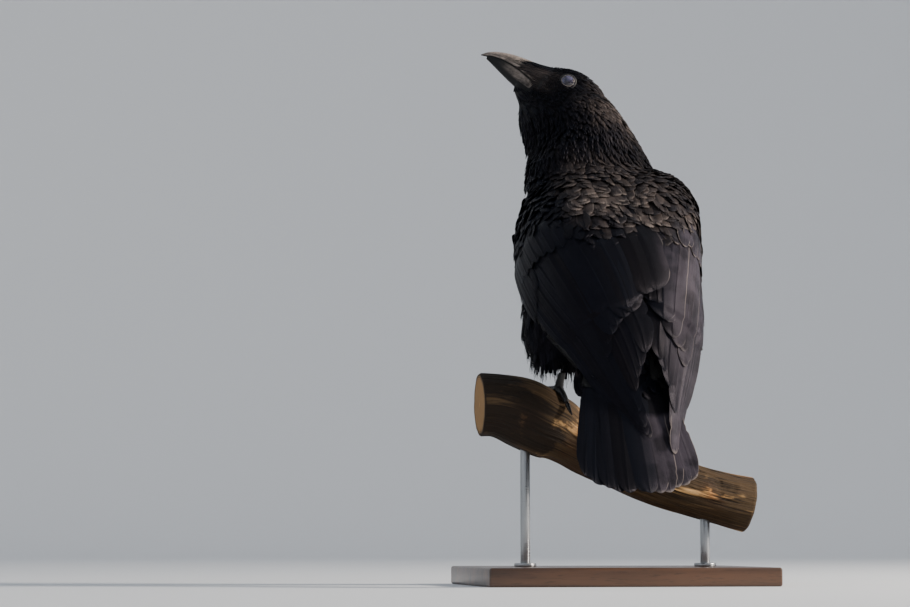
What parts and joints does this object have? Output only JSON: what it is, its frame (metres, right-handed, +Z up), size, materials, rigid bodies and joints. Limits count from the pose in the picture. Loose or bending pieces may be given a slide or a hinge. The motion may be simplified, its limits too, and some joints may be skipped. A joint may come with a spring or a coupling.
{
  "type": "carrion crow",
  "caption": "Life-size perched carrion crow looking back over its left shoulder, bill raised, on a cut length of bare branch held by steel rods above a flat wooden base.",
  "frame": {"origin": "centre of the stand base's underside, on the floor", "axes": "+Z up; the bird's body faces -Y with its tail towards +Y, its left side is +X; the perch runs along X and slopes down towards -X"},
  "size_m": [0.2388, 0.2463, 0.4552],
  "materials": {
    "feathers": "black feathers with a faint blue sheen",
    "bill_horn": "satin dark horn",
    "eye_membrane": "wet, milky third eyelid drawn over a dark eye",
    "leg_scale": "scaled black skin",
    "claw_horn": "polished black horn",
    "weathered_wood": "bare, weathered, split along the grain",
    "stained_wood": "dark stain, satin",
    "rod_steel": "satin"
  },
  "bodies": {
    "root": {"trunk": "feathers", "neck": "feathers", "head": "feathers", "bill_upper": "bill_horn", "bill_lower": "bill_horn", "eye_left": "eye_membrane", "eye_right": "eye_membrane", "wing_left": "feathers", "wing_right": "feathers", "tail": "feathers", "thigh_left": "feathers", "thigh_right": "feathers", "leg_left": "leg_scale", "leg_right": "leg_scale", "claw_left_inner": "claw_horn", "claw_left_middle": "claw_horn", "claw_left_outer": "claw_horn", "claw_left_hind": "claw_horn", "claw_right_inner": "claw_horn", "claw_right_middle": "claw_horn", "claw_right_outer": "claw_horn", "claw_right_hind": "claw_horn", "perch": "weathered_wood", "stand_base": "stained_wood", "stand_rod_1": "rod_steel", "stand_rod_2": "rod_steel"}
  },
  "joints": []
}
